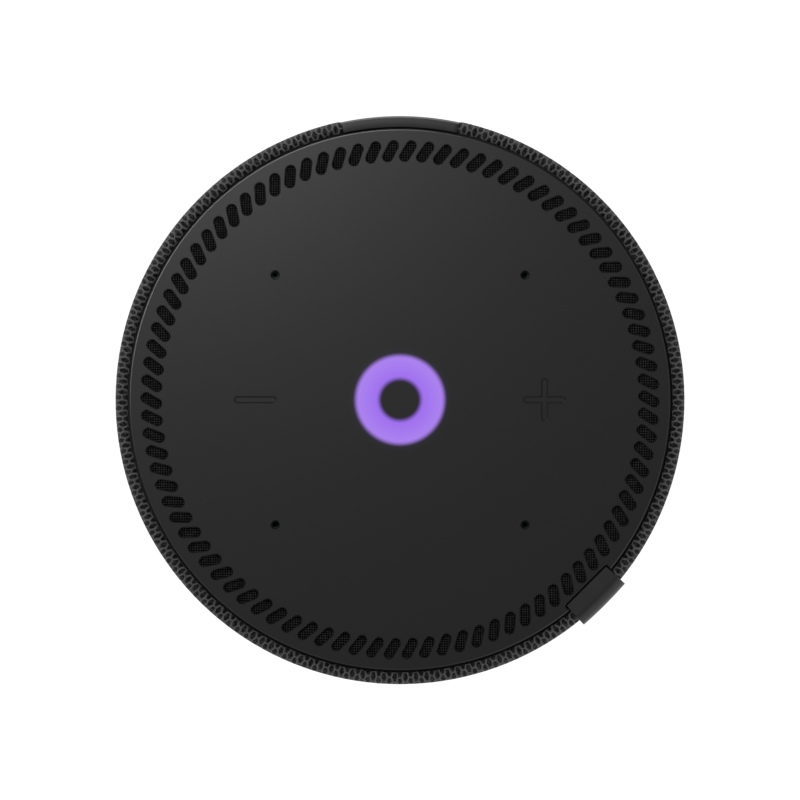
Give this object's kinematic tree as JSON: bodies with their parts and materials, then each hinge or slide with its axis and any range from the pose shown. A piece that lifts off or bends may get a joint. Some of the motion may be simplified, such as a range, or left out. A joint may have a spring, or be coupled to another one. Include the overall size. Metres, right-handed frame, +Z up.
{
  "type": "smart home hub",
  "caption": "Fabric-wrapped cylindrical smart home hub with a slotted matt top plate, lit ring, raised volume marks, side tag, and a rear spine with power inlet and mute button.",
  "frame": {"origin": "centre of the foot ring's underside, on the table", "axes": "+Z up through the top plate; -Y to the front, +Y to the rear spine; +X to the volume-up mark, the right side seen from the front"},
  "size_m": [0.13, 0.13, 0.1654],
  "materials": {
    "plate_plastic": "fine matt moulded texture",
    "trim_plastic": "matt",
    "spine_plastic": "satin",
    "knit_fabric": "open honeycomb knit",
    "tag_elastomer": "smooth satin",
    "woven_mesh": "fine plain weave",
    "ring_lens": "frosted, lit from behind",
    "reflector": "matt white",
    "black_rubber": "matt",
    "housing_plastic": "moulded, as made",
    "circuit_board": "solder mask",
    "plated_steel": "zinc plated",
    "bare_aluminium": "extruded",
    "ferrite": "ground",
    "cone_paper": "pressed pulp",
    "stiffened_cloth": "resin-stiffened weave",
    "contact_metal": "bright"
  },
  "bodies": {
    "housing": {"top_plate": "plate_plastic", "centre_cap": "plate_plastic", "base_plate": "trim_plastic", "power_jack": "trim_plastic", "mute_switch": "trim_plastic", "rear_spine": "spine_plastic", "fabric_sleeve": "knit_fabric", "side_tag": "tag_elastomer", "slot_mesh_ring": "woven_mesh", "light_ring_lens": "ring_lens", "light_well": "reflector", "mic_ribbon": "reflector", "foot_ring": "black_rubber", "baffle_gasket": "black_rubber", "woofer_surround": "black_rubber", "radiator_surround": "black_rubber", "mic_gasket_1": "black_rubber", "mic_gasket_2": "black_rubber", "mic_gasket_3": "black_rubber", "mic_gasket_4": "black_rubber", "speaker_tub": "housing_plastic", "baffle": "housing_plastic", "top_deck": "housing_plastic", "grille_frame": "housing_plastic", "radiator_frame": "housing_plastic", "tweeter_frame_left": "housing_plastic", "tweeter_frame_right": "housing_plastic", "main_board": "circuit_board", "mic_board": "circuit_board", "switch_board": "circuit_board", "radio_module": "circuit_board", "woofer_basket": "plated_steel", "woofer_washer": "plated_steel", "woofer_yoke": "plated_steel", "tweeter_motor_left": "plated_steel", "tweeter_motor_right": "plated_steel", "shield_can": "plated_steel", "base_screw_1": "plated_steel", "base_screw_2": "plated_steel", "base_screw_3": "plated_steel", "base_screw_4": "plated_steel", "deck_screw_1": "plated_steel", "deck_screw_2": "plated_steel", "deck_screw_3": "plated_steel", "deck_screw_4": "plated_steel", "heat_sink": "bare_aluminium", "woofer_magnet": "ferrite", "woofer_spider": "stiffened_cloth", "tweeter_dome_left": "stiffened_cloth", "tweeter_dome_right": "stiffened_cloth", "power_jack_pin": "contact_metal", "touch_spring_minus": "contact_metal", "touch_spring_plus": "contact_metal"},
    "mute_control": {"mute_button": "spine_plastic", "mute_switch_plunger": "reflector"},
    "woofer_moving": {"woofer_cone": "cone_paper", "woofer_dust_cap": "cone_paper", "voice_coil": "contact_metal"},
    "radiator_moving": {"radiator_cone": "cone_paper", "radiator_weight": "plated_steel"}
  },
  "joints": [
    {"name": "mute_button_press", "type": "slide", "parent": "housing", "child": "mute_control", "axis": [0, -1, 0], "range_m": [0, 0.0008], "stiffness_N_per_m": 1500},
    {"name": "woofer_travel", "type": "slide", "parent": "housing", "child": "woofer_moving", "axis": [0, 0, 1], "range_m": [-0.003, 0.003], "stiffness_N_per_m": 1200, "deforming": ["woofer_surround", "woofer_spider"]},
    {"name": "radiator_travel", "type": "slide", "parent": "housing", "child": "radiator_moving", "axis": [0, 0, 1], "range_m": [-0.004, 0.004], "stiffness_N_per_m": 1200, "deforming": ["radiator_surround"]}
  ]
}
